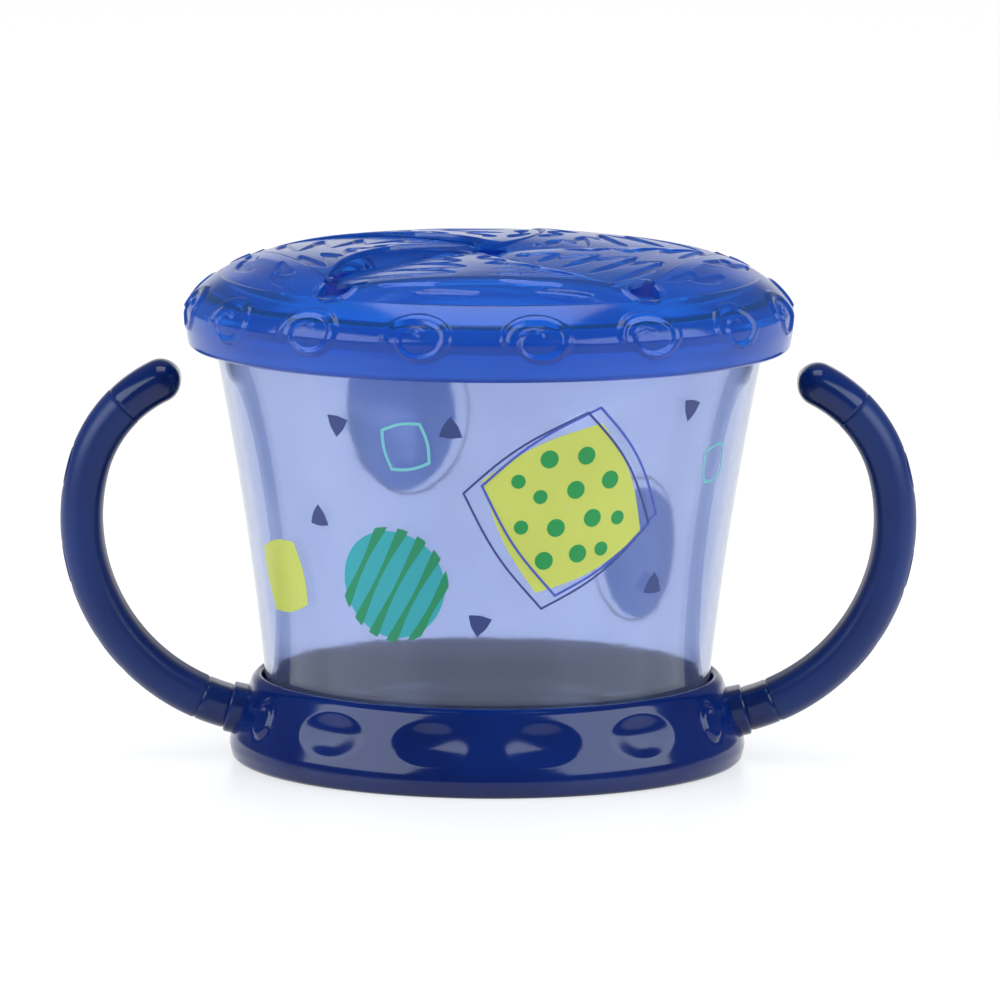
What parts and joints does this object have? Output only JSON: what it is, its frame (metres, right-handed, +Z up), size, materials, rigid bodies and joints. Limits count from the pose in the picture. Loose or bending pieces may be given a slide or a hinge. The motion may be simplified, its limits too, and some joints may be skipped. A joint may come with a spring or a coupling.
{
  "type": "toddler snack container",
  "caption": "Lidded snack cup for a toddler: petal-mouthed snap lid, tapered see-through cup, dish base and a curved side handle for each hand.",
  "frame": {"origin": "centre of the foot ring, on the table", "axes": "+Z up through the lid, +X towards the right handle seen from the front, -Y towards the front"},
  "size_m": [0.1412, 0.1006, 0.0858],
  "materials": {
    "base_navy": "gloss",
    "handle_navy": "gloss",
    "grip_navy": "satin",
    "cup_clear_blue": "gloss, see-through",
    "lid_blue": "gloss, see-through",
    "flap_blue": "soft, see-through"
  },
  "bodies": {
    "base_unit": {"base": "base_navy", "handle_left": "handle_navy", "handle_right": "handle_navy", "grip_left": "grip_navy", "grip_right": "grip_navy"},
    "cup_unit": {"cup": "cup_clear_blue"},
    "lid_unit": {"lid": "lid_blue"},
    "petal_front": {"flap_front": "flap_blue"},
    "petal_right": {"flap_right": "flap_blue"},
    "petal_back_right": {"flap_back_right": "flap_blue"},
    "petal_back_left": {"flap_back_left": "flap_blue"},
    "petal_left": {"flap_left": "flap_blue"}
  },
  "joints": [
    {"name": "cup_lift", "type": "slide", "parent": "base_unit", "child": "cup_unit", "axis": [0, 0, 1], "range_m": [0, 0.07]},
    {"name": "lid_lift", "type": "slide", "parent": "cup_unit", "child": "lid_unit", "axis": [0, 0, 1], "range_m": [0, 0.02]},
    {"name": "petal_front_bend", "type": "hinge", "parent": "lid_unit", "child": "petal_front", "pos_m": [0, -0.03398, 0.0821], "axis": [1, 0, 0], "range_deg": [-55, 15], "stiffness_Nm_per_rad": 0.02},
    {"name": "petal_right_bend", "type": "hinge", "parent": "lid_unit", "child": "petal_right", "pos_m": [0.03232, -0.0105, 0.0821], "axis": [0.309, 0.9511, 0], "range_deg": [-55, 15], "stiffness_Nm_per_rad": 0.02},
    {"name": "petal_back_right_bend", "type": "hinge", "parent": "lid_unit", "child": "petal_back_right", "pos_m": [0.01997, 0.02749, 0.0821], "axis": [-0.809, 0.5878, 0], "range_deg": [-55, 15], "stiffness_Nm_per_rad": 0.02},
    {"name": "petal_back_left_bend", "type": "hinge", "parent": "lid_unit", "child": "petal_back_left", "pos_m": [-0.01997, 0.02749, 0.0821], "axis": [-0.809, -0.5878, 0], "range_deg": [-55, 15], "stiffness_Nm_per_rad": 0.02},
    {"name": "petal_left_bend", "type": "hinge", "parent": "lid_unit", "child": "petal_left", "pos_m": [-0.03232, -0.0105, 0.0821], "axis": [0.309, -0.9511, 0], "range_deg": [-55, 15], "stiffness_Nm_per_rad": 0.02}
  ]
}
